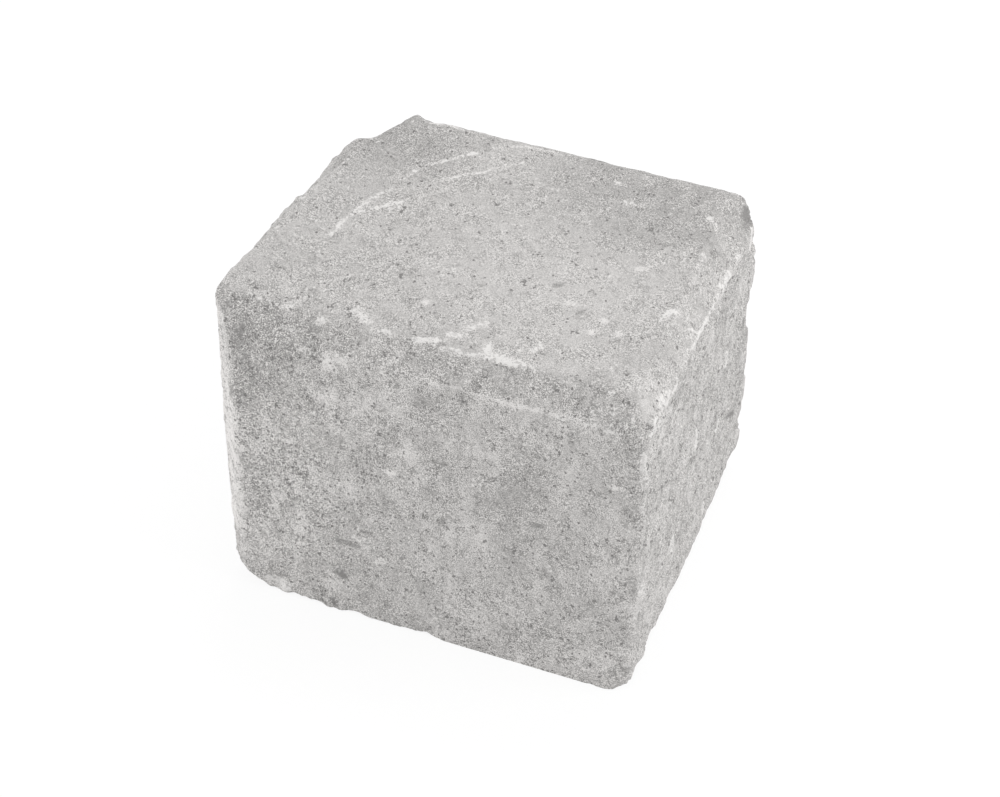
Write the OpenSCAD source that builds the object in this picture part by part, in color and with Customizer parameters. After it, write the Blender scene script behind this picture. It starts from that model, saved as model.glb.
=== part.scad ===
// Garden wall block: one cast piece of grey concrete, tumbled until its edges are worn.
// It stands on its lower bed, with its seen face towards -Y and its seen end towards +X.
// The origin is at the middle of the lower bed.

/* [Block] */
// Length along the seen face
block_w = 178; // [140:1:220]
// Depth from the seen face to the back
block_d = 150; // [120:1:200]
// Height from the lower bed to the upper bed
block_h = 150; // [120:1:200]

/* [Worn edges of the upper bed] */
// Front edge: width worn off the upper bed
front_top_run = 12; // [3:0.5:18]
// Front edge: height worn off the seen face
front_top_drop = 9.5; // [3:0.5:18]
// Right edge: width worn off the upper bed
right_top_run = 8.5; // [3:0.5:18]
// Right edge: height worn off the seen end
right_top_drop = 8; // [3:0.5:18]
// Right edge: how much wider the wear gets towards the back
right_top_spread = 4.5; // [0:0.5:10]
// Left edge: width worn off the upper bed
left_top_run = 1; // [1:0.5:10]
// Left edge: height worn off the left end
left_top_drop = 1; // [1:0.5:10]
// Left edge: how much wider the wear gets towards the back
left_top_spread = 7.5; // [0:0.5:10]
// Back edge: width worn off the upper bed
back_top_run = 10; // [3:0.5:18]
// Back edge: height worn off the back
back_top_drop = 8; // [3:0.5:18]

/* [Worn upright edges] */
// Front left edge: width worn off the seen face
front_left_run = 9; // [3:0.5:18]
// Front left edge: depth worn off the left end
front_left_depth = 8.5; // [3:0.5:18]
// Front right edge: width worn off both faces
front_right_wear = 4; // [2:0.5:12]
// Back right edge: width worn off both faces
back_right_wear = 1.5; // [1:0.5:12]
// Back right edge: how much more is worn off its upper end
back_right_lean = 6.5; // [0:0.5:8]
// Back left edge: width worn off both faces
back_left_wear = 8; // [3:0.5:18]

/* [Worn edges of the lower bed] */
// Front edge: width worn off the bed and the seen face
front_bottom_wear = 0.5; // [0.5:0.5:10]
// Right edge: width worn off the lower bed
right_bottom_run = 5; // [3:0.5:18]
// Right edge: height worn off the seen end
right_bottom_rise = 8.5; // [3:0.5:18]
// Left edge: width worn off the bed and the left end
left_bottom_wear = 8; // [3:0.5:18]
// Back edge: width worn off the bed and the back
back_bottom_wear = 6; // [3:0.5:18]

/* [Worn corners, each measured along its diagonal] */
// Front left corner of the upper bed
front_left_top = 3; // [3:0.5:12]
// Front right corner of the upper bed
front_right_top = 8.5; // [8:0.5:12]
// Back right corner of the upper bed
back_right_top = 9; // [8:0.5:12]
// Front left corner of the lower bed
front_left_bottom = 10; // [8:0.5:12]
// Front right corner of the lower bed
front_right_bottom = 6; // [5:0.5:12]
// Both rear corners of the lower bed
back_bottom_corners = 9; // [8:0.5:12]

/* [Broken rear left corner of the upper bed] */
// Length broken off the back edge
break_w = 29; // [12:1:35]
// Length broken off the left edge
break_d = 42; // [12:1:46]
// Height broken off the upright edge
break_h = 35; // [10:1:42]
// How far the broken face dips in
break_dish = 5.5; // [1:0.5:7]
// Length of the flake that runs on from the break along the left edge
flake_length = 78; // [30:1:90]
// Depth of that flake
flake_depth = 4.5; // [1:0.5:7]

/* [Chips] */
// Length of the largest chip on the back right edge
back_right_chip = 32; // [10:1:40]
// Depth of the largest chip on the back right edge
back_right_bite = 3; // [1:0.5:4]
// Length of the scrape along the lower front edge
front_scrape = 60; // [20:1:80]
// Depth of that scrape
front_scrape_bite = 1.5; // [0.5:0.5:4]
// Length of the largest chip on the edges that face the back and the left end
rear_chip = 32; // [10:1:40]
// Depth of the largest chip on those edges
rear_bite = 3.5; // [1:0.5:5]

/* [Hidden] */

half_w = block_w / 2;
half_d = block_d / 2;

// In how many flats a worn edge is drawn. The edges between the seen faces were knocked off in
// one flat, and the others were rubbed round.
KNOCKED = 1;
RUBBED = 6;
// How full a rubbed edge is, between a plain bevel (0) and a full round (1).
EDGE_FULLNESS = 0.65;
// The outlines are drawn longer than the block, so that their ends never meet its faces.
SPARE = 20;
// How far in from a corner its rounding ball is centred, along each of the three edges.
CORNER_REACH = 40;

// Chips up the back right edge: [share of the height, share of the largest chip].
BACK_RIGHT_CHIPS = [[0.92, 1], [0.61, 0.9], [0.37, 0.3], [0.18, 0.3]];

// Points around one worn edge: from run back along the first side to drop along the second.
// The corner is at the origin, with the first side along -X and the second along -Y.
function worn_edge(run, drop, flats) = [
    for (i = [0 : flats])
        let (part = i / flats, turn = 90 * part,
             bevel = [-run * (1 - part), -drop * part],
             round_off = [run * (sin(turn) - 1), drop * (cos(turn) - 1)])
        bevel + EDGE_FULLNESS * (round_off - bevel)
];

// The same points moved to a corner, mirrored where the corner is on a negative side.
// Mirroring turns their order round, so it is turned back to keep the outline running one way.
function placed(points, corner, sides) =
    let (moved = [for (p = points) [corner.x + sides.x * p.x, corner.y + sides.y * p.y]],
         last = len(moved) - 1)
    sides.x * sides.y > 0 ? moved : [for (i = [last : -1 : 0]) moved[i]];

// A rectangle with four worn corners, each given as [run along X, drop along Y, flats].
module worn_outline(low, high, upper_right, lower_right, lower_left, upper_left)
    polygon(concat(
        placed(worn_edge(upper_right.x, upper_right.y, upper_right.z), high, [1, 1]),
        placed(worn_edge(lower_right.x, lower_right.y, lower_right.z), [high.x, low.y], [1, -1]),
        placed(worn_edge(lower_left.x, lower_left.y, lower_left.z), low, [-1, -1]),
        placed(worn_edge(upper_left.x, upper_left.y, upper_left.z), [low.x, high.y], [-1, 1])));

// Seen from the front: the four edges that run from front to back.
module front_outline()
    translate([0, half_d + SPARE, 0])
        rotate([90, 0, 0])
            linear_extrude(height = block_d + 2 * SPARE)
                worn_outline([-half_w, 0], [half_w, block_h],
                    [right_top_run, right_top_drop, KNOCKED],
                    [right_bottom_run, right_bottom_rise, RUBBED],
                    [left_bottom_wear, left_bottom_wear, RUBBED],
                    [left_top_run, left_top_drop, RUBBED]);

// Seen from the right: the four edges that run from left to right.
module side_outline()
    translate([-half_w - SPARE, 0, 0])
        rotate([90, 0, 90])
            linear_extrude(height = block_w + 2 * SPARE)
                worn_outline([-half_d, 0], [half_d, block_h],
                    [back_top_run, back_top_drop, RUBBED],
                    [back_bottom_wear, back_bottom_wear, RUBBED],
                    [front_bottom_wear, front_bottom_wear, RUBBED],
                    [front_top_run, front_top_drop, KNOCKED]);

// Seen from above: the four upright edges.
module plan_outline()
    translate([0, 0, -SPARE])
        linear_extrude(height = block_h + 2 * SPARE)
            worn_outline([-half_w, -half_d], [half_w, half_d],
                [back_right_wear, back_right_wear, RUBBED],
                [front_right_wear, front_right_wear, RUBBED],
                [front_left_run, front_left_depth, KNOCKED],
                [back_left_wear, back_left_wear, RUBBED]);

// A flat cut: everything past the plane that faces outward through a point is worn away.
module shave(at, outward) {
    reach = block_w + block_d;
    translate(at)
        rotate([0, acos(outward.z / norm(outward)), atan2(outward.y, outward.x)])
            translate([-reach / 2, -reach / 2, 0])
                cube([reach, reach, SPARE * 2]);
}

// A shallow bowl: span across and depth deep, bitten out at a point that faces outward.
module scoop(at, outward, span, depth) {
    ball = (span * span / 4 + depth * depth) / (2 * depth);
    translate(at + (ball - depth) * outward / norm(outward))
        sphere(r = ball, $fn = 96);
}

// What rounds one corner: a block over it, less a ball that stops short of the corner.
module worn_corner(side, wear) {
    corner = [side.x * half_w, side.y * half_d, side.z > 0 ? block_h : 0];
    difference() {
        translate(corner)
            cube(2 * CORNER_REACH, center = true);
        translate(corner - CORNER_REACH * side)
            sphere(r = norm(CORNER_REACH * side) - wear, $fn = 96);
    }
}

// All corners but the broken one.
module worn_corners() {
    worn_corner([-1, -1, 1], front_left_top);
    worn_corner([1, -1, 1], front_right_top);
    worn_corner([1, 1, 1], back_right_top);
    worn_corner([-1, -1, -1], front_left_bottom);
    worn_corner([1, -1, -1], front_right_bottom);
    for (side = [-1, 1])
        worn_corner([side, 1, -1], back_bottom_corners);
}

// An upper edge that runs from front to back, worn wider towards the back. The cut starts on
// the worn edge at the front, and its side is 1 on the right and -1 on the left.
module spreading_wear(side, run, drop, spread)
    shave([side * (half_w - run), -half_d, block_h],
        [side * drop * block_d, drop * spread, run * block_d]);

// Edges that are worn more at one end than at the other.
module slanted_wear() {
    spreading_wear(1, right_top_run, right_top_drop, right_top_spread);
    spreading_wear(-1, left_top_run, left_top_drop, left_top_spread);
    // the back right edge, from its foot to the upper corner
    shave([back_right_reach(0, half_w), back_right_reach(0, half_d), 0],
        [block_h, block_h, back_right_lean]);
}

// The rear left corner of the upper bed, broken off along a dished face.
module corner_break() {
    along_back = [-half_w + break_w, half_d, block_h];
    along_left = [-half_w, half_d - break_d, block_h];
    down_edge = [-half_w, half_d, block_h - break_h];
    middle = (along_back + along_left + down_edge) / 3;
    outward = cross(along_left - along_back, down_edge - along_back);
    scoop(middle, outward * sign(outward.z), norm(along_left - along_back), break_dish);
}

// The flake off the left edge of the upper bed, from the broken corner forwards. It starts
// from the edge as it is already worn at the flake's middle.
module left_flake() {
    middle = half_d - flake_length / 2;
    spread = left_top_spread * (half_d + middle) / block_d;
    scoop([-half_w + (left_top_run + spread) / 2, middle, block_h - (left_top_drop + spread) / 2],
        [-1, 0, 1], flake_length, flake_depth);
}

// How far the worn back right edge still reaches along one axis, at a share of the height.
function back_right_reach(share, half) = half - (back_right_wear + back_right_lean * share) / 2;

// Chips up the back right edge.
module back_right_chips()
    for (chip = BACK_RIGHT_CHIPS)
        scoop([back_right_reach(chip[0], half_w), back_right_reach(chip[0], half_d),
            block_h * chip[0]], [1, 1, 0], back_right_chip * chip[1], back_right_bite * chip[1]);

// A long scrape on the lower front edge, beside the left corner.
module lower_front_scrape()
    scoop([-half_w + front_left_run + front_scrape / 2, -half_d, 0], [0, -1, -1],
        front_scrape, front_scrape_bite);

// Chips along the edges that face the back and the left end. Each is given by
// [share of the edge's length, share of the largest chip].
module rear_chips() {
    for (chip = [[0.17, 0.6], [0.3, 0.45], [0.66, 1]])
        scoop([half_w - block_w * chip[0], half_d - back_bottom_wear / 2, back_bottom_wear / 2],
            [0, 1, -1], rear_chip * chip[1], rear_bite * chip[1]);
    for (chip = [[0.26, 0.8], [0.52, 0.4], [0.74, 0.65]])
        scoop([-half_w + left_bottom_wear / 2, half_d - block_d * chip[0], left_bottom_wear / 2],
            [-1, 0, -1], rear_chip * chip[1], rear_bite * chip[1]);
    for (chip = [[0.25, 0.9], [0.42, 0.5], [0.6, 0.7]])
        scoop([-half_w + back_left_wear / 2, half_d - back_left_wear / 2, block_h * chip[0]],
            [-1, 1, 0], rear_chip * chip[1], rear_bite * chip[1]);
}

module block()
    color("#b9b8b5")
        difference() {
            intersection() {
                front_outline();
                side_outline();
                plan_outline();
            }
            worn_corners();
            slanted_wear();
            corner_break();
            left_flake();
            back_right_chips();
            lower_front_scrape();
            rear_chips();
        }

block();
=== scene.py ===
"""Looks of the garden wall block: weathered relief, dry-cast concrete, studio, camera."""

import math

import bpy
import numpy as np
from mathutils import Matrix, Vector

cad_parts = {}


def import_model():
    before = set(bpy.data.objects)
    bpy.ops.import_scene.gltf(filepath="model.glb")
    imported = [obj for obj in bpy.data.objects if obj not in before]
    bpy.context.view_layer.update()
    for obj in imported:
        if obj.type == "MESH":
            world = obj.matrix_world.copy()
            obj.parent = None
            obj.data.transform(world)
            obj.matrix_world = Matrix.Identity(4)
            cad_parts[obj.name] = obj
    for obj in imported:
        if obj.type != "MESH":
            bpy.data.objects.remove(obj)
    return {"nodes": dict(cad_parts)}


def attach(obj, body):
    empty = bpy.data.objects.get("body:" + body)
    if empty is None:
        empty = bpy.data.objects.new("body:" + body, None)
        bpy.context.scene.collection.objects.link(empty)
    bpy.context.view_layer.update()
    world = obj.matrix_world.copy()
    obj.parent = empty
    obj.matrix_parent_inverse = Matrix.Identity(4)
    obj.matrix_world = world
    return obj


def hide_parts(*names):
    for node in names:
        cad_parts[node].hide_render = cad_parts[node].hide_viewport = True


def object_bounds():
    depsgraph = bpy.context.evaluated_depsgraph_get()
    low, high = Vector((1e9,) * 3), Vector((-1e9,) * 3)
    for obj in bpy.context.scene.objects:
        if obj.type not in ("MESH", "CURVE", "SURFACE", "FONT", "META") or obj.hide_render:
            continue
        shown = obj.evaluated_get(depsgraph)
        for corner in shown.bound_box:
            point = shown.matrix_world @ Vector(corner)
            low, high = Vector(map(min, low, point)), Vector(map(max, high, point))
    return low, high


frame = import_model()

CAD_LOW, CAD_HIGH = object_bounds()
CENTRE = (CAD_LOW + CAD_HIGH) / 2
MM = 0.001
CORE = 0.3              # share of a place's or an edge's reach over which it works in full
STREAK_CORE = 0.4       # the same share for a streak's half width

# ---------------------------------------------------------------- modelling helpers


def only(obj):
    """Selects one object and makes it the active one."""
    bpy.ops.object.select_all(action="DESELECT")
    obj.select_set(True)
    bpy.context.view_layer.objects.active = obj


def points_of(obj):
    """The mesh's corners as an array, one row each."""
    flat = np.empty(len(obj.data.vertices) * 3, np.float32)
    obj.data.vertices.foreach_get("co", flat)
    return flat.reshape(-1, 3).astype(float)


def normals_of(obj):
    """The way each corner faces, one row each."""
    flat = np.empty(len(obj.data.vertices) * 3, np.float32)
    obj.data.vertex_normals.foreach_get("vector", flat)
    return flat.reshape(-1, 3).astype(float)


def apply_all(obj):
    """Applies an object's modifiers in their order."""
    only(obj)
    for modifier in list(obj.modifiers):
        bpy.ops.object.modifier_apply(modifier=modifier.name)


def soft_step(value, low, high):
    """0 up to the low end, 1 from the high end, and an even rise between them."""
    part = np.clip((value - low) / (high - low), 0, 1)
    return part * part * (3 - 2 * part)


def near(points, place, reach):
    """1 at a place in mm, falling to 0 at its reach."""
    away = np.linalg.norm(points - np.array(place) * MM, axis=1)
    return 1 - soft_step(away, CORE * reach * MM, reach * MM)


# ---------------------------------------------------------------- the weathered block

VOXEL = 1.3 * MM        # spacing of the relief mesh
WELD = 0.01 * MM        # how near each other corners are merged
WEIGHT_STEPS = 20       # how finely the roughness is graded
EDGE_ZONE = 15 * MM     # how far in from an edge the tumbling roughened it
CALM_EDGE = 0.3         # share of the roughness that every edge has
END_SKIN = (3 * MM, 6 * MM)     # how far in from the ends their pitting fades out

# Where the tumbling tore the edges most: a place in mm, and how far around it.
TORN_PLACES = (
    ((-78, 62, 140), 42),
    ((-86, 10, 150), 30),
    ((89, 75, 110), 45),
    ((89, 75, 40), 50),
    ((-60, -75, 0), 40),
    ((20, -75, 0), 55),
    ((89, -70, 0), 40),
    ((-89, 60, 10), 60),
    ((30, 75, 0), 60),
)

# Where the outline stands out or falls in past the even wear of the solid:
# a place in mm, how far around it, and which way it goes.
KNOBS = (
    ((-80, 42, 148), 7, (-1.2, 0.4, 0.5)),
    ((-73, 51, 148), 8, (0.7, -0.7, -0.4)),
    ((-82, 31, 148), 7, (1.8, -1.2, -0.9)),
    ((-85, 1, 148), 7, (-0.8, 0.6, 0.4)),
    ((-83, 7, 148), 7, (2.6, -2.0, -1.2)),
    ((-87, -15, 148), 13, (0.7, -0.5, -0.3)),
    ((-89, -50, 149), 18, (-0.8, 0.5, 0.5)),
    ((-88, -59, 150), 11, (-1.5, 0.0, 1.5)),
    ((-64, 70, 148), 9, (-0.4, 0.6, 0.4)),
    ((88, 73, 143), 9, (1.8, 0.2, 0.0)),
    ((89, 75, 113), 10, (1.0, 1.0, 0.0)),
    ((89, 75, 92), 10, (-1.6, -1.6, 0.0)),
    ((89, 75, 66), 22, (1.0, 1.0, 0.0)),
    ((89, 75, 43), 9, (3.0, 3.0, 0.0)),
    ((89, 75, 26), 6, (-1.5, -1.5, 0.0)),
    ((89, 75, 12), 9, (3.0, 3.0, 0.0)),
    ((89, 62, 2), 11, (-1.2, 0.0, 1.0)),
    ((89, 2, 3), 28, (0.5, 0.0, -0.5)),
    ((88, -49, 4), 10, (-1.0, 0.0, 0.7)),
    ((-89, -66, 60), 70, (-0.8, -0.4, 0.0)),
    ((-66, -75, 3), 12, (0.0, 0.4, 0.4)),
    ((-41, -75, 1), 7, (0.0, -1.2, -1.2)),
    ((35, -75, 1), 38, (0.0, -1.2, -1.2)),
    ((64, -75, 3), 12, (0.0, -1.0, -1.2)),
    ((78, -74, 3), 11, (0.0, -1.0, -1.2)),
    ((86, -72, 3), 7, (-0.2, -0.4, -0.6)),
)
KNOB_LIMIT = 3.0        # the furthest one goes along an axis
KNOB_STEPS = 60         # how finely they are graded


def fine_copy(node):
    """A merged, evenly remeshed copy of a CAD node."""
    only(node)
    bpy.ops.object.duplicate()
    block = bpy.context.object
    block.name = block.data.name = "weathered_block"
    block.parent = None
    bpy.ops.object.mode_set(mode="EDIT")
    bpy.ops.mesh.select_all(action="SELECT")
    bpy.ops.mesh.remove_doubles(threshold=WELD)
    bpy.ops.object.mode_set(mode="OBJECT")
    block.data.remesh_voxel_size = VOXEL
    block.data.remesh_voxel_adaptivity = 0
    bpy.ops.object.voxel_remesh()
    return block


def weigh(obj, name, weights, count=WEIGHT_STEPS):
    """A vertex group from an array of weights, in the given count of steps."""
    group = obj.vertex_groups.new(name=name)
    steps = np.round(weights * count).astype(int)
    for step in range(1, count + 1):
        group.add(np.nonzero(steps == step)[0].tolist(), step / count, "REPLACE")


def roughness_weights(points):
    """How torn each point is: nothing on the faces, most at the torn places."""
    to_faces = np.minimum(points - np.array(CAD_LOW), np.array(CAD_HIGH) - points)
    to_edge = np.sort(to_faces, axis=1)[:, 1]
    edge = 1 - soft_step(to_edge, CORE * EDGE_ZONE, EDGE_ZONE)
    torn = np.max([near(points, place, reach) for place, reach in TORN_PLACES], axis=0)
    return edge * (CALM_EDGE + (1 - CALM_EDGE) * torn)


def end_weights(points):
    """1 on the two end faces, and 0 a little way in from them."""
    to_end = np.minimum(points[:, 0] - CAD_LOW[0], CAD_HIGH[0] - points[:, 0])
    return 1 - soft_step(to_end, *END_SKIN)


def relief(obj, name, kind, size, depth, level, group="", **settings):
    """Presses a procedural pattern into the surface; a level of 1 never raises it."""
    pattern = bpy.data.textures.new(name, type=kind)
    pattern.noise_scale = size
    for key, value in settings.items():
        setattr(pattern, key, value)
    press = obj.modifiers.new(name, "DISPLACE")
    press.texture = pattern
    press.texture_coords = "LOCAL"
    press.mid_level = level
    press.strength = depth
    press.vertex_group = group


def knobs(obj):
    """Moves the knobs out and the hollows in, one axis and one way at a time."""
    points = points_of(obj)
    moves = sum(near(points, place, reach)[:, None] * np.array(move, float)
                for place, reach, move in KNOBS)
    for axis, letter in enumerate("XYZ"):
        for way, side in (("out", 1), ("in", -1)):
            name = letter + "_" + way
            weigh(obj, name, np.clip(side * moves[:, axis] / KNOB_LIMIT, 0, 1), KNOB_STEPS)
            push = obj.modifiers.new(name, "DISPLACE")
            push.direction = letter
            push.mid_level = 0
            push.strength = side * KNOB_LIMIT * MM
            push.vertex_group = name


def flatten_to_box(obj):
    """What the relief raised past the mould's planes is pushed back onto them."""
    points = points_of(obj)
    for axis in range(3):
        for limit, side in ((CAD_LOW[axis], -1), (CAD_HIGH[axis], 1)):
            for parts in (obj.data.polygons, obj.data.edges):
                parts.foreach_set("select", np.zeros(len(parts), bool))
            obj.data.vertices.foreach_set("select", (points[:, axis] - limit) * side > 0)
            squeeze = [1, 1, 1]
            squeeze[axis] = 0
            plane = [0, 0, 0]
            plane[axis] = limit
            bpy.ops.object.mode_set(mode="EDIT")
            bpy.ops.transform.resize(value=squeeze, center_override=plane)
            bpy.ops.object.mode_set(mode="OBJECT")


def weathered_block():
    """The block with the relief that casting, splitting and tumbling left on it."""
    block = fine_copy(frame["nodes"]["block"])
    weigh(block, "torn", roughness_weights(points_of(block)))
    weigh(block, "ends", end_weights(points_of(block)))
    soften = block.modifiers.new("soften", "SMOOTH")
    soften.factor = 0.5
    soften.iterations = 1
    relief(block, "swells", "CLOUDS", size=24 * MM, depth=0.4 * MM, level=0.9)
    relief(block, "bites", "VORONOI", size=11 * MM, depth=2.6 * MM, level=0.45, group="torn")
    relief(block, "crumbled", "CLOUDS", size=4.5 * MM, depth=2.6 * MM, level=0.5,
           group="torn", noise_depth=2)
    relief(block, "crumbs", "CLOUDS", size=2.4 * MM, depth=0.35 * MM, level=0.7, noise_depth=1)
    relief(block, "pits", "CLOUDS", size=3.2 * MM, depth=1.1 * MM, level=0.7,
           group="ends", noise_depth=1)
    knobs(block)
    apply_all(block)
    flatten_to_box(block)
    bpy.ops.object.shade_smooth()
    return block


# ---------------------------------------------------------------- where it is worn, and where shade and a highlight are painted

# Knocks that left crushed white cement: from, to, half width (mm) and strength.
FRONT_EDGE_KNOCKS = (
    ((-61, -63, 150), (-59, -63, 150), 3.0, 0.80),
    ((-46, -66, 149), (-44, -65, 150), 3.0, 0.95),
    ((-34, -56, 150), (-28, -61, 150), 3.5, 0.75),
    ((-24, -63, 150), (-15, -64, 150), 2.0, 0.65),
    ((-7, -64, 150), (2, -60, 150), 2.5, 0.70),
    ((4, -64, 150), (17, -64, 150), 2.5, 0.70),
    ((20, -62, 150), (38, -62, 150), 3.0, 0.85),
    ((4, -56, 150), (8, -55, 150), 2.0, 0.80),
    ((9, -50, 150), (14, -46, 150), 2.5, 0.70),
    ((20, -59, 150), (20, -55, 150), 1.8, 0.75),
    ((36, -53, 150), (38, -49, 150), 2.0, 0.75),
    ((-3, -75, 142), (62, -75, 141), 1.8, 0.45),
)
SPLIT_FACE_KNOCKS = (
    ((-43, -75, 144), (-34, -75, 141), 3.0, 0.70),
    ((-33, -75, 143), (-38, -75, 136), 3.5, 0.70),
    ((42, -75, 3), (42, -75, 1), 3.0, 0.80),
    ((-70, -75, 6), (-63, -75, 5), 5.0, 0.90),
)
RIGHT_EDGE_KNOCKS = (
    ((88, -64, 141), (88, -69, 139), 2.0, 0.95),
    ((88, -73, 130), (88, -73, 120), 3.0, 0.95),
    ((88, -54, 142), (88, -48, 140), 3.8, 1.00),
    ((88, -48, 140), (88, -40, 138), 3.0, 0.90),
    ((89, -44, 142), (89, -12, 140), 1.8, 0.45),
    ((89, -14, 140), (89, 16, 140), 2.0, 0.75),
    ((88, 19, 139), (88, 29, 139), 3.5, 0.85),
    ((88, 29, 139), (88, 36, 139), 2.0, 0.70),
    ((88, 41, 138), (88, 48, 137), 2.5, 0.75),
    ((88, 61, 138), (88, 59, 130), 2.5, 0.95),
    ((88, -26, 43), (88, -22, 34), 4.0, 0.95),
    ((88, -68, 56), (88, -63, 48), 3.0, 0.90),
    ((88, 39, 104), (88, 39, 100), 2.6, 0.95),
    ((88, 38, 93), (88, 39, 85), 3.4, 0.95),
    ((88, 35, 57), (88, 32, 54), 3.2, 0.85),
    ((88, -1, 81), (88, 0, 73), 3.2, 0.95),
    ((88, 22, 18), (88, 22, 14), 4.0, 0.85),
    ((74, 48, 150), (78, 44, 150), 2.2, 1.00),
    ((78, 44, 150), (80, 38, 150), 2.2, 1.00),
    ((79, 31, 150), (80, 28, 150), 2.0, 0.80),
    ((75, -19, 150), (77, -12, 150), 1.9, 0.95),
    ((77, -12, 150), (82, -10, 149), 1.9, 0.95),
)
UPPER_BED_KNOCKS = (
    ((39, 46, 150), (47, 45, 150), 2.0, 0.50),
    ((28, 56, 150), (36, 56, 150), 1.6, 0.50),
    ((43, 62, 150), (47, 62, 150), 1.6, 0.45),
    ((-55, 68, 149), (-50, 68, 149), 2.8, 0.90),
    ((-45, 69, 149), (-40, 69, 149), 2.6, 0.80),
    ((-32, 70, 149), (-27, 70, 149), 2.4, 0.75),
    ((-60, 73, 148), (80, 73, 148), 3.0, 0.60),
)
SCUFFS = FRONT_EDGE_KNOCKS + SPLIT_FACE_KNOCKS + RIGHT_EDGE_KNOCKS + UPPER_BED_KNOCKS

# The ring scraped on the upper bed: strokes as a strength and the places they pass.
SCRAPES = (
    (0.35, ((-49, -53), (-58, -38), (-62, -29))),
    (0.80, ((-62, -18), (-61, -8), (-59, 1), (-56, 11), (-52, 18))),
    (0.70, ((-50, 25), (-46, 35), (-40, 43), (-28, 54))),
    (0.65, ((-24, 59), (-11, 66), (6, 66))),
    (0.80, ((-58, -1), (-52, 5), (-44, 12))),
    (0.55, ((-39, 18), (-30, 27))),
    (0.75, ((-36, 30), (-28, 38), (-20, 43))),
    (0.65, ((-19, 45), (-14, 51), (-7, 55))),
)
SCRAPE_WIDTH = 1.5      # half of it, in mm
STRUCK_SHINE = 0.18     # how much lighter the whole of a knock or stroke is

# Broad lighter and darker patches: a place, how far around it, and how much.
PATCHES = (
    ((23, -14, 150), 60, 0.07),
    ((-62, 58, 148), 42, -0.20),
    ((48, 54, 150), 60, -0.16),
    ((-68, -75, 128), 34, -0.22),
    # Painted shade: the small corner facet at the back of the right end is painted dark.
    ((87, 63, 143), 7, -0.60),
    ((86, -56, 144), 18, 0.16),
    ((-7, -75, 100), 9, 0.18),
    ((-40, -75, 16), 9, 0.20),
    ((-64, -75, 92), 9, 0.15),
    ((-60, -75, 64), 9, 0.15),
    ((-72, -75, 141), 12, -0.35),
    ((-78, -75, 108), 11, -0.35),
    ((-63, -75, 139), 8, -0.20),
    ((-49, -75, 113), 11, -0.20),
    ((-33, -75, 129), 8, -0.25),
    ((-22, -75, 113), 9, -0.22),
    ((-13, -75, 106), 9, -0.30),
    ((4, -75, 128), 10, -0.22),
    ((-78, -75, 45), 11, -0.35),
    ((-18, -75, 68), 10, -0.20),
    ((40, -75, 56), 14, -0.12),
)

# Single pebbles, dents, a crease and pale nicks: from, to, half width in mm, and how much. The
# darker marks are painted shade in dents, a crack and a notch.
MARKS = (
    ((-43, -75, 143), (-39, -75, 142), 2.4, 0.45),
    ((-34, -75, 142), (-31, -75, 139), 2.8, 0.50),
    ((-38, -75, 137), (-35, -75, 134), 2.4, 0.45),
    ((-14, -75, 88), (-13, -75, 88), 2.4, 1.20),
    ((-19, -75, 37), (-18, -75, 37), 2.4, 1.00),
    ((-53, -75, 35), (-53, -75, 34), 2.2, 0.70),
    ((-77, -75, 80), (-77, -75, 79), 2.0, 0.70),
    ((-58, -75, 90), (-58, -75, 89), 1.8, 0.70),
    ((76, -75, 114), (79, -75, 113), 1.8, 0.90),
    ((-39, -75, 42), (-29, -75, 41), 2.0, -0.60),
    ((-37, -75, 23), (-36, -75, 22), 2.8, -1.20),
    ((5, -75, 101), (9, -75, 101), 1.6, -0.60),
    ((8, -75, 70), (8, -75, 68), 1.8, -0.50),
    ((-21, -75, 114), (-17, -75, 114), 2.0, -0.40),
    ((46, -75, 82), (49, -75, 82), 1.8, -0.60),
    ((-41, -75, 5), (-40, -75, 3), 1.8, -1.20),
    # Painted shade in a crack and a notch on the right-hand end.
    ((89, 49, 47), (89, 60, 39), 1.8, -0.70),
    ((89, 61, 91), (89, 61, 87), 2.2, -0.80),
    ((-1, -75, 143), (8, -75, 140), 2.0, 0.50),
    ((19, -75, 140), (27, -75, 141), 1.8, 0.40),
    ((31, -75, 140), (41, -75, 141), 2.0, 0.45),
    ((43, -75, 141), (52, -75, 141), 1.8, 0.35),
    ((55, -75, 142), (63, -75, 143), 1.8, 0.35),
    ((-12, -42, 150), (-11, -42, 150), 2.0, 0.55),
    ((39, -22, 150), (41, -22, 150), 2.0, 0.40),
    ((53, -35, 150), (54, -34, 150), 2.0, 0.45),
    ((55, -27, 150), (56, -27, 150), 2.0, 0.45),
    ((62, -33, 150), (63, -32, 150), 2.0, 0.45),
    ((57, 7, 150), (60, 8, 150), 2.0, 0.40),
    ((31, -14, 150), (33, -13, 150), 1.8, -0.40),
    ((45, -26, 150), (46, -25, 150), 1.8, -0.40),
)

# Where the split face is coarsest: a place, how far around it, and how much.
COARSE_PLACES = (
    ((-70, -75, 90), 75, 0.75),
    ((-66, -75, 128), 40, 1.20),
    ((-60, -75, 20), 60, 0.50),
    ((30, -5, 150), 75, -0.22),
)

# The knocked-off edges as flats: a point on each in mm, and the way it faces.
FRONT_BEVEL = ((0, -69, 145.2), (0, -9.5, 12))
RIGHT_BEVEL = ((80.5, -75, 150), (8, 0.24, 8.5))
RUBBED_ARRIS = ((-84.5, -70.75, 75), (-8.5, -9, 0))

# How much lighter each flat is than the faces beside it, and how much less coarse.
# The front bevel's darkening is painted shade.
FRONT_BEVEL_PAINTED_SHADE_LOOK = (-0.1, 0.2)
# The right bevel's darkening, fading towards the back, is painted shade.
RIGHT_BEVEL_PAINTED_SHADE_LOOK = (-0.03, 0.15)
# The rubbed arris's lightening is a painted highlight; its calmer grain is its real, smoother
# surface.
RUBBED_ARRIS_PAINTED_HIGHLIGHT_LOOK = (0.45, 0.8)

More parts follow.
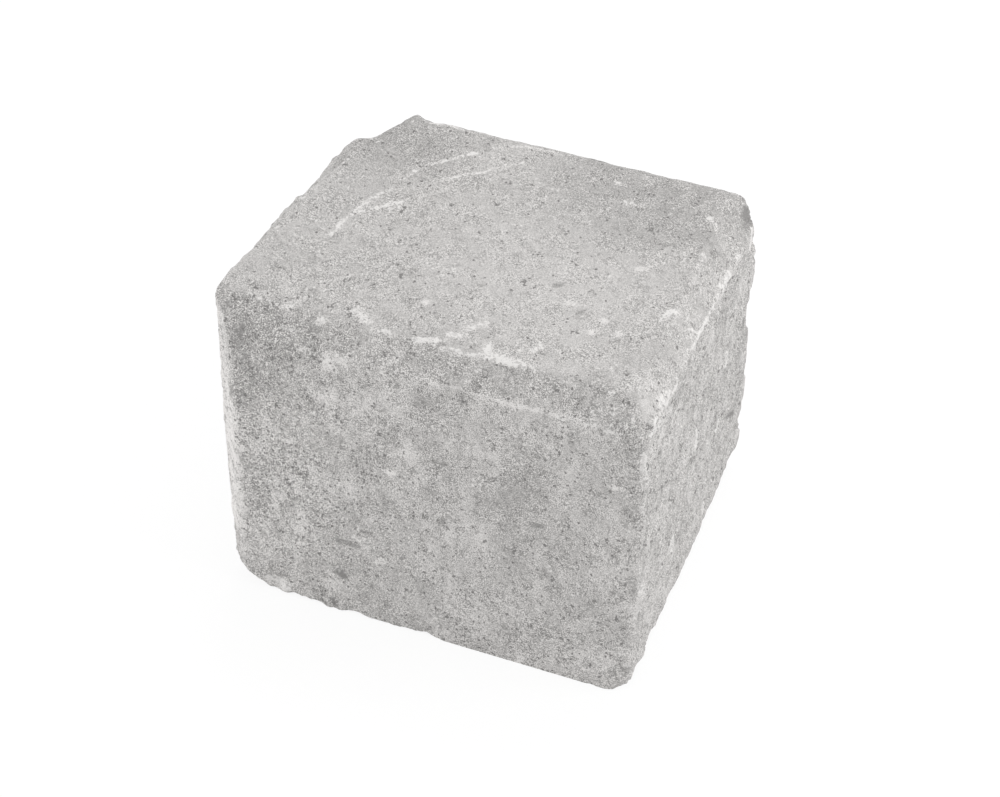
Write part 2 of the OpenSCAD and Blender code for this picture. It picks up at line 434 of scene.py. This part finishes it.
FLAT_SKIN = (-1.6, -0.6)    # how far under a flat, in mm, its look fades out
ARRIS_FOOT = (12, 40)       # heights in mm between which the rubbed arris begins
ARRIS_HEAD = (144, 149)     # and those between which it ends
BEVEL_TAIL = (-30, 50)      # how far back in mm the right bevel's look fades
BEVEL_TAIL_FADE = 0.8       # and by what share
CREST_WEAR = 0.3            # how bruised the crests of the crumbs are
CREST_HEIGHT = 0.4          # how far in mm a crest stands out to be so
SMOOTHING = 20              # passes that smooth the surface the crests are measured from


def strayed(points):
    """The points shifted to and fro, so that patches measured from them are ragged."""
    wide = np.sin(points[:, [2, 0, 1]] / (1.7 * MM))
    fine = np.sin(points[:, [1, 2, 0]] / (0.8 * MM))
    return points + 2 * MM * wide + MM * fine


def to_streak(points, start, end):
    """Each point's distance in mm from a straight streak."""
    start, end = np.array(start, float), np.array(end, float)
    along = end - start
    share = np.clip((points / MM - start) @ along / (along @ along), 0, 1)
    return np.linalg.norm(points / MM - start - share[:, None] * along, axis=1)


def on_flat(points, flat):
    """1 on a worn edge's flat, and 0 a little way under it."""
    place, facing = (np.array(part, float) for part in flat)
    height = (points / MM - place) @ facing / np.linalg.norm(facing)
    return soft_step(height, *FLAT_SKIN)


def on_streak(points, start, end, width):
    """1 along a streak, falling to 0 at its half width in mm."""
    return 1 - soft_step(to_streak(points, start, end), STREAK_CORE * width, width)


def on_scrapes(points):
    """How strongly the ring on the upper bed was scraped at each point."""
    bed = CAD_HIGH.z / MM
    scraped = np.zeros(len(points))
    for strength, places in SCRAPES:
        for start, end in zip(places, places[1:]):
            along = on_streak(points, (*start, bed), (*end, bed), SCRAPE_WIDTH)
            scraped = np.maximum(scraped, strength * along)
    return scraped


def prominence(obj):
    """How far each point stands out of its smoothed surroundings, in mm."""
    only(obj)
    bpy.ops.object.duplicate()
    smooth = bpy.context.object
    worn = smooth.modifiers.new("worn", "SMOOTH")
    worn.factor = 0.5
    worn.iterations = SMOOTHING
    apply_all(smooth)
    stands = ((points_of(obj) - points_of(smooth)) * normals_of(smooth)).sum(axis=1) / MM
    bpy.data.objects.remove(smooth)
    return stands


def paint(obj, name, values):
    """Keeps one number for each point, for the material to read."""
    attribute = obj.data.attributes.new(name, "FLOAT", "POINT")
    attribute.data.foreach_set("value", values.astype(np.float32))


def mark_wear_and_painted_light(obj):
    """Paints how bruised, how light and how coarse the concrete is at each point; the lightness
    also holds painted shade and a painted highlight.
    """
    points = points_of(obj)
    struck = on_scrapes(points)
    for start, end, width, strength in SCUFFS:
        struck = np.maximum(struck, strength * on_streak(points, start, end, width))
    crests = np.clip(prominence(obj) / CREST_HEIGHT, 0, 1)
    paint(obj, "wear", np.maximum(struck, CREST_WEAR * crests))

    ragged = strayed(points)
    shade = sum(near(ragged, place, reach) * much for place, reach, much in PATCHES)
    shade += sum(on_streak(points, start, end, width) * much
                 for start, end, width, much in MARKS)
    shade += STRUCK_SHINE * struck
    coarse = sum(near(points, place, reach) * much for place, reach, much in COARSE_PLACES)

    height = points[:, 2] / MM
    back = points[:, 1] / MM
    rubbed_arris_and_highlight = on_flat(points, RUBBED_ARRIS)
    rubbed_arris_and_highlight *= soft_step(height, *ARRIS_FOOT) * (1 - soft_step(height, *ARRIS_HEAD))
    right_bevel = on_flat(points, RIGHT_BEVEL)
    right_bevel *= 1 - BEVEL_TAIL_FADE * soft_step(back, *BEVEL_TAIL)
    front_bevel = on_flat(points, FRONT_BEVEL)
    # Painted shade on the two bevels, and a painted highlight on the rubbed arris over its real
    # calmer grain.
    for part, (lighter, calmer) in ((rubbed_arris_and_highlight, RUBBED_ARRIS_PAINTED_HIGHLIGHT_LOOK),
                                    (right_bevel, RIGHT_BEVEL_PAINTED_SHADE_LOOK),
                                    (front_bevel, FRONT_BEVEL_PAINTED_SHADE_LOOK)):
        shade += lighter * part
        coarse -= calmer * part
    paint(obj, "shade", shade)
    paint(obj, "coarse", coarse)


# ---------------------------------------------------------------- node helpers

# Where a Mix node keeps each kind of value: the first of its pair of inputs, and its output.
MIX_SOCKETS = {"VECTOR": (4, 1), "RGBA": (6, 2)}


class Wiring:
    """Adds nodes to a tree; every input is a value or another node's output."""

    def __init__(self, tree):
        self.tree = tree

    def put(self, socket, value):
        """Sets a socket, or links it where the value is another socket."""
        if isinstance(value, bpy.types.NodeSocket):
            self.tree.links.new(value, socket)
        else:
            socket.default_value = value

    def node(self, kind, inputs, **settings):
        """A new node with its inputs, by name or number, and its settings."""
        made = self.tree.nodes.new(kind)
        for key, value in settings.items():
            setattr(made, key, value)
        for name, value in inputs.items():
            self.put(made.inputs[name], value)
        return made

    def math(self, operation, *values, clamp=False):
        """A Math node's result."""
        made = self.node("ShaderNodeMath", {}, operation=operation, use_clamp=clamp)
        for socket, value in zip(made.inputs, values):
            self.put(socket, value)
        return made.outputs[0]

    def scaled(self, vector, size):
        """Coordinates in metres, counted in patterns of the given size in mm."""
        stretch = size if isinstance(size, tuple) else (size, size, size)
        scale = tuple(1 / (MM * part) for part in stretch)
        return self.node("ShaderNodeMapping", {"Vector": vector, "Scale": scale}).outputs[0]

    def noise(self, vector, size, detail=1.0, roughness=0.5):
        """Soft noise about 0.5, in lumps of the given size in mm."""
        inputs = {"Vector": self.scaled(vector, size), "Scale": 1.0,
                  "Detail": detail, "Roughness": roughness}
        return self.node("ShaderNodeTexNoise", inputs).outputs["Fac"]

    def cells(self, vector, size, feature="F1"):
        """Scattered cells: the distance from each cell's middle or edge, and its random grey."""
        inputs = {"Vector": self.scaled(vector, size), "Scale": 1.0}
        made = self.node("ShaderNodeTexVoronoi", inputs, feature=feature)
        if feature == "DISTANCE_TO_EDGE":
            return made.outputs["Distance"], None
        grey = self.node("ShaderNodeSeparateColor", {"Color": made.outputs["Color"]})
        return made.outputs["Distance"], grey.outputs[0]

    def ramp(self, value, low, high, bottom=0.0, top=1.0):
        """A soft step from bottom to top as the value goes from low to high."""
        inputs = {"Value": value, "From Min": low, "From Max": high,
                  "To Min": bottom, "To Max": top}
        made = self.node("ShaderNodeMapRange", inputs, interpolation_type="SMOOTHSTEP")
        return made.outputs["Result"]

    def sum(self, *parts):
        """The sum of (value, weight) pairs, each value taken about its middle, 0.5."""
        total = 0.0
        for value, weight in parts:
            part = self.math("MULTIPLY_ADD", value, weight, -0.5 * weight)
            total = self.math("ADD", part, total)
        return total

    def mix(self, factor, first, second, kind="RGBA"):
        """First or second colour or vector, or one between them."""
        made = self.node("ShaderNodeMix", {"Factor": factor}, data_type=kind)
        pair, result = MIX_SOCKETS[kind]
        self.put(made.inputs[pair], first)
        self.put(made.inputs[pair + 1], second)
        return made.outputs[result]


def node_group(name, inputs, outputs, build):
    """A node group with named inputs and outputs, wired by the given function."""
    tree = bpy.data.node_groups.new(name, "ShaderNodeTree")
    for label, kind, value in inputs:
        socket = tree.interface.new_socket(label, in_out="INPUT", socket_type=kind)
        if value is not None:
            socket.default_value = value
    for label in outputs:
        tree.interface.new_socket(label, in_out="OUTPUT", socket_type="NodeSocketFloat")
    given = tree.nodes.new("NodeGroupInput")
    out = tree.nodes.new("NodeGroupOutput")
    wiring = Wiring(tree)
    for label, value in build(wiring, given.outputs).items():
        wiring.put(out.inputs[label], value)
    return tree


VECTOR = "NodeSocketVector"
NUMBER = "NodeSocketFloat"

# ---------------------------------------------------------------- concrete

CRUMB_BEND = 3 * MM     # how far the gaps between crumbs wander
CRUMB_HEIGHT = 0.5      # how high the crumbs stand in the bump, in mm for a tone of 1
GAP_DEPTH = 0.15        # how deep the gaps are in it, in mm
PORE_DEPTH = 0.35       # and the pores
PORE_SHARE = 0.14       # share of the places for a pore that have one

# The pores' spacing in mm, and their radius as a share of it.
PORE_SIZES = ((2.0, 0.22), (4.2, 0.15), (9.0, 0.09))


def sand_grain():
    """Fine sand in cement, plainer in some patches than in others: a tone about 0."""
    def build(wiring, given):
        place = given["Vector"]
        speck = wiring.noise(place, size=0.4, detail=1, roughness=0.9)
        grain = wiring.cells(place, size=0.42)[1]
        fine = wiring.sum((speck, 3.6), (grain, 0.6))
        stretch = wiring.noise(place, size=9, detail=2)
        patch = wiring.ramp(stretch, low=0.38, high=0.62, bottom=0.55, top=1.35)
        return {"Tone": wiring.math("MULTIPLY", fine, patch)}
    return node_group("sand_grain", (("Vector", VECTOR, None),), ("Tone",), build)


def crumb_gaps():
    """Crumbs a few mm wide, with dark gaps between some of them: a tone, a mask, a height."""
    def build(wiring, given):
        place = given["Vector"]
        crumb = wiring.noise(place, size=2.2, detail=2, roughness=0.6)
        wander = wiring.node("ShaderNodeTexNoise",
                             {"Vector": wiring.scaled(place, 2), "Scale": 1.0}).outputs["Color"]
        bend = wiring.node("ShaderNodeVectorMath", {0: wander, 1: (CRUMB_BEND,) * 3},
                           operation="MULTIPLY").outputs[0]
        bent = wiring.node("ShaderNodeVectorMath", {0: bend, 1: place},
                           operation="ADD").outputs[0]
        edge = wiring.cells(bent, size=3.2, feature="DISTANCE_TO_EDGE")[0]
        line = wiring.ramp(edge, low=0.02, high=0.1, bottom=1.0, top=0.0)
        where = wiring.ramp(wiring.noise(place, size=4.5, detail=2), low=0.52, high=0.62)
        gap = wiring.math("MULTIPLY", line, where)
        swell = wiring.sum((crumb, 0.42))
        height = wiring.math("MULTIPLY_ADD", gap, -GAP_DEPTH,
                             wiring.math("MULTIPLY", swell, CRUMB_HEIGHT))
        return {"Tone": swell, "Gap": gap, "Height": height}
    return node_group("crumb_gaps", (("Vector", VECTOR, None),), ("Tone", "Gap", "Height"), build)


def open_pores():
    """Scattered small pores: a mask."""
    def build(wiring, given):
        place = given["Vector"]
        ragged = wiring.sum((wiring.noise(place, size=0.9), 0.7))
        masks = []
        for size, radius in PORE_SIZES:
            away, grey = wiring.cells(place, size)
            bent = wiring.math("ADD", away, ragged)
            hole = wiring.ramp(bent, low=0.7 * radius, high=1.2 * radius, bottom=1.0, top=0.0)
            kept = wiring.math("GREATER_THAN", given["Share"], grey)
            masks.append(wiring.math("MULTIPLY", hole, kept))
        mask = wiring.math("MAXIMUM", masks[0], wiring.math("MAXIMUM", *masks[1:]))
        return {"Mask": mask}
    inputs = (("Vector", VECTOR, None), ("Share", NUMBER, 0.2))
    return node_group("open_pores", inputs, ("Mask",), build)


def mottling():
    """Damp and dry patches left by curing: a tone about 0."""
    def build(wiring, given):
        place = given["Vector"]
        spots = wiring.noise(place, size=(6, 6, 12), detail=2)
        patches = wiring.noise(place, size=22)
        clouds = wiring.noise(place, size=60)
        return {"Tone": wiring.sum((spots, 0.6), (patches, 0.3), (clouds, 0.2))}
    return node_group("mottling", (("Vector", VECTOR, None),), ("Tone",), build)


def bruising():
    """White crushed cement where the surface was knocked: a broken-up mask."""
    def build(wiring, given):
        place = given["Vector"]
        flecks = wiring.noise(place, size=1.2, roughness=0.6)
        clumps = wiring.noise(place, size=3.6, detail=2, roughness=0.6)
        stretches = wiring.noise(place, size=16)
        luck = wiring.sum((flecks, 2.0), (clumps, 2.2), (stretches, 1.0))
        return {"Mask": wiring.ramp(wiring.math("ADD", given["Wear"], luck), low=0.45, high=1.0)}
    inputs = (("Vector", VECTOR, None), ("Wear", NUMBER, 0.0))
    return node_group("bruising", inputs, ("Mask",), build)


DAMP_CEMENT = (0.27, 0.264, 0.258, 1.0)
DRY_CEMENT = (0.81, 0.79, 0.775, 1.0)
CRUSHED_WHITE = (0.84, 0.825, 0.81, 1.0)
PORE_SHADE = (0.2, 0.195, 0.19, 1.0)

ROUGHNESS = 0.92
SHEEN = 0.25            # how strongly the cement reflects

# How squarely a point faces out of a side where that side's look begins, and where it is full.
SPLIT_FACING = (0.25, 0.6)
END_FACING = (0.9, 0.99)
BED_FACING = (0.85, 0.97)

# How coarse the concrete is: everywhere, and more on the end and the split faces.
COARSENESS = 0.9
END_COARSENESS = 0.4
SPLIT_COARSENESS = 0.45
BED_CALM = 0.45         # how much fainter the crumbs and patches are on the upper bed

# The grain of the right-hand end is drawn out: its lean in degrees, and how much.
END_LEAN = -41
END_STRETCH = 1.7
END_TURN = 0.93         # how squarely a point faces right to have that grain

MID_TONE = 0.5          # half way from damp to dry cement
BRUISE_LIFT = 0.3       # how much drier a bruise is
BRUISE_WHITE = 0.6      # how much crushed white lies on it
GAP_SHADE = 0.45        # how dark the gaps between crumbs are
PORE_DARK = 0.8         # and the pores


def concrete():
    """Dry-cast concrete, read from the block's own coordinates and painted wear, tone and painted
    shade.
    """
    material = bpy.data.materials.new("dry_cast_concrete")
    material.use_nodes = True
    wiring = Wiring(material.node_tree)
    shader = material.node_tree.nodes["Principled BSDF"]
    shader.inputs["Roughness"].default_value = ROUGHNESS
    shader.inputs["Specular IOR Level"].default_value = SHEEN

    place = wiring.node("ShaderNodeTexCoord", {}).outputs["Object"]
    wear, shade, coarse = (
        wiring.node("ShaderNodeAttribute", {}, attribute_name=name).outputs["Fac"]
        for name in ("wear", "shade", "coarse"))
    facing = wiring.node("ShaderNodeNewGeometry", {}).outputs["Normal"]
    facing = wiring.node("ShaderNodeSeparateXYZ", {"Vector": facing}).outputs
    split_face = wiring.ramp(wiring.math("ABSOLUTE", facing["Y"]), *SPLIT_FACING)
    right_end = wiring.ramp(facing["X"], *END_FACING)
    upper_face = wiring.ramp(facing["Z"], *BED_FACING)
    coarseness = wiring.math("MULTIPLY_ADD", right_end, END_COARSENESS, COARSENESS)
    coarseness = wiring.math("MULTIPLY_ADD", split_face, SPLIT_COARSENESS, coarseness)
    coarseness = wiring.math("ADD", coarseness, coarse)

    def effect(tree, **inputs):
        """The outputs of a node group laid over the block."""
        return wiring.node("ShaderNodeGroup", {"Vector": place} | inputs, node_tree=tree).outputs

    drawn_out = wiring.node("ShaderNodeMapping", {
        "Vector": place, "Rotation": (math.radians(END_LEAN), 0, 0),
        "Scale": (1, END_STRETCH, 1)}, vector_type="TEXTURE").outputs[0]
    over_end = wiring.math("GREATER_THAN", facing["X"], END_TURN)
    grain_place = wiring.mix(over_end, place, drawn_out, "VECTOR")

    grain = effect(sand_grain(), Vector=grain_place)["Tone"]
    crumbs = effect(crumb_gaps(), Vector=grain_place)
    mottle = effect(mottling())["Tone"]
    pores = effect(open_pores(), Vector=grain_place,
                   Share=wiring.math("MULTIPLY", coarseness, PORE_SHARE))["Mask"]
    bruises = effect(bruising(), Wear=wear)["Mask"]

    broad = wiring.math("ADD", crumbs["Tone"], mottle)
    calm = wiring.math("MULTIPLY_ADD", upper_face, -BED_CALM, 1.0)
    texture = wiring.math("MULTIPLY_ADD", broad, calm, grain)
    # The shade attribute brings in painted shade and a painted highlight along with the
    # concrete's own tone.
    lift = wiring.math("MULTIPLY_ADD", bruises, BRUISE_LIFT,
                       wiring.math("ADD", shade, MID_TONE))
    tone = wiring.math("MULTIPLY_ADD", texture, coarseness, lift)
    colour = wiring.mix(wiring.math("ADD", tone, 0.0, clamp=True), DAMP_CEMENT, DRY_CEMENT)
    gaps = wiring.math("MULTIPLY", crumbs["Gap"], wiring.math("MULTIPLY", calm, GAP_SHADE))
    holes = wiring.math("MAXIMUM", gaps, wiring.math("MULTIPLY", pores, PORE_DARK))
    colour = wiring.mix(holes, colour, PORE_SHADE)
    colour = wiring.mix(wiring.math("MULTIPLY", bruises, BRUISE_WHITE), colour, CRUSHED_WHITE)
    wiring.put(shader.inputs["Base Color"], colour)

    height = wiring.math("MULTIPLY_ADD", pores, -PORE_DEPTH, crumbs["Height"])
    bump = wiring.node("ShaderNodeBump", {"Height": height, "Distance": MM, "Strength": 1.0})
    wiring.put(shader.inputs["Normal"], bump.outputs["Normal"])
    return material


def dress(block):
    """Gives the block its concrete and its place in the frame."""
    block.data.materials.clear()
    block.data.materials.append(concrete())
    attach(block, "root")
    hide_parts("block")


# ---------------------------------------------------------------- studio

FLOOR_SIZE = 8.0
FLOOR_BOUNCE = 0.8      # how much light the floor throws back on the block
FLOOR_SHADOW = 0.15     # how much of the floor's tone the lamps make, and a shadow takes away
FLOOR_GLOW = 0.875      # the rest of its tone
AMBIENT = 0.65

# Each softbox: name, direction, distance and size in metres, and power in watts.
SOFTBOXES = (
    ("left_softbox", (-1.0, -0.6, 0.05), 1.6, 1.0, 14),
    ("right_softbox", (1.0, 0.1, 0.6), 1.6, 1.0, 9.5),
    ("top_softbox", (0.0, 0.6, 1.0), 1.8, 1.2, 7),
)


def lit_or_seen(wiring, lit, seen):
    """One shader for light, and another for what is seen, mirrored or seen through glass."""
    rays = wiring.node("ShaderNodeLightPath", {}).outputs
    direct = wiring.math("MAXIMUM", rays["Is Camera Ray"], rays["Is Glossy Ray"])
    direct = wiring.math("MAXIMUM", direct, rays["Is Transmission Ray"])
    return wiring.node("ShaderNodeMixShader", {"Fac": direct, 1: lit, 2: seen}).outputs[0]


def neutral(level):
    """A colour without a hue, from 0 for black to 1 for white."""
    return (level, level, level, 1)


def floor():
    """A white floor that keeps a faint shadow."""
    bpy.ops.mesh.primitive_plane_add(size=FLOOR_SIZE, location=(0, 0, CAD_LOW.z))
    plane = bpy.context.object
    plane.name = "floor"
    material = bpy.data.materials.new("white_floor")
    material.use_nodes = True
    material.node_tree.nodes.clear()
    wiring = Wiring(material.node_tree)
    bounce = wiring.node("ShaderNodeBsdfDiffuse", {"Color": neutral(FLOOR_BOUNCE)}).outputs[0]
    shaded = wiring.node("ShaderNodeBsdfDiffuse", {"Color": neutral(FLOOR_SHADOW)}).outputs[0]
    glow = wiring.node("ShaderNodeEmission", {"Strength": FLOOR_GLOW}).outputs[0]
    seen = wiring.node("ShaderNodeAddShader", {0: shaded, 1: glow}).outputs[0]
    wiring.node("ShaderNodeOutputMaterial", {"Surface": lit_or_seen(wiring, bounce, seen)})
    plane.data.materials.append(material)


def world():
    """Plain light from all round, and white where it is seen."""
    sky = bpy.data.worlds.new("studio_air")
    bpy.context.scene.world = sky
    sky.use_nodes = True
    nodes = sky.node_tree.nodes
    wiring = Wiring(sky.node_tree)
    lit = nodes["Background"]
    lit.inputs["Color"].default_value = neutral(1)
    lit.inputs["Strength"].default_value = AMBIENT
    seen = wiring.node("ShaderNodeBackground", {"Color": neutral(1)})
    both = lit_or_seen(wiring, lit.outputs[0], seen.outputs[0])
    wiring.put(nodes["World Output"].inputs["Surface"], both)


def softbox(name, towards, distance, size, power):
    """A square lamp seen from the block in the given direction, turned to face it."""
    lamp = bpy.data.lights.new(name, "AREA")
    lamp.shape = "SQUARE"
    lamp.size = size
    lamp.energy = power
    box = bpy.data.objects.new(name, lamp)
    bpy.context.scene.collection.objects.link(box)
    direction = Vector(towards).normalized()
    box.location = CENTRE + direction * distance
    box.rotation_euler = direction.to_track_quat("Z", "Y").to_euler()


# ---------------------------------------------------------------- camera

SENSOR_WIDTH = 36.0
FOCAL_LENGTH = 86.4
VIEW_ANGLES = (20.33, 42.34, 0.95)      # azimuth, elevation and roll in degrees
VIEW_CENTRE = (3.74, 0, 69.8)           # in mm
VIEW_DISTANCE = 993.2                   # in mm


def camera():
    """The camera, turned to the view centre from its angles and distance."""
    lens = bpy.data.cameras.new("camera")
    lens.sensor_width = SENSOR_WIDTH
    lens.lens = FOCAL_LENGTH
    eye = bpy.data.objects.new("camera", lens)
    bpy.context.scene.collection.objects.link(eye)
    azimuth, elevation, roll = (math.radians(angle) for angle in VIEW_ANGLES)
    target = Vector(VIEW_CENTRE) * MM
    back = Vector((math.sin(azimuth) * math.cos(elevation),
                   -math.cos(azimuth) * math.cos(elevation), math.sin(elevation)))
    level = Vector((math.cos(azimuth), math.sin(azimuth), 0))
    upright = back.cross(level)
    right = level * math.cos(roll) + upright * math.sin(roll)
    up = upright * math.cos(roll) - level * math.sin(roll)
    place = Matrix.Translation(target + back * (VIEW_DISTANCE * MM))
    eye.matrix_world = place @ Matrix((right, up, back)).transposed().to_4x4()
    bpy.context.scene.camera = eye


block = weathered_block()
mark_wear_and_painted_light(block)
dress(block)
floor()
world()
for values in SOFTBOXES:
    softbox(*values)
camera()
bpy.context.scene.view_settings.view_transform = "Standard"
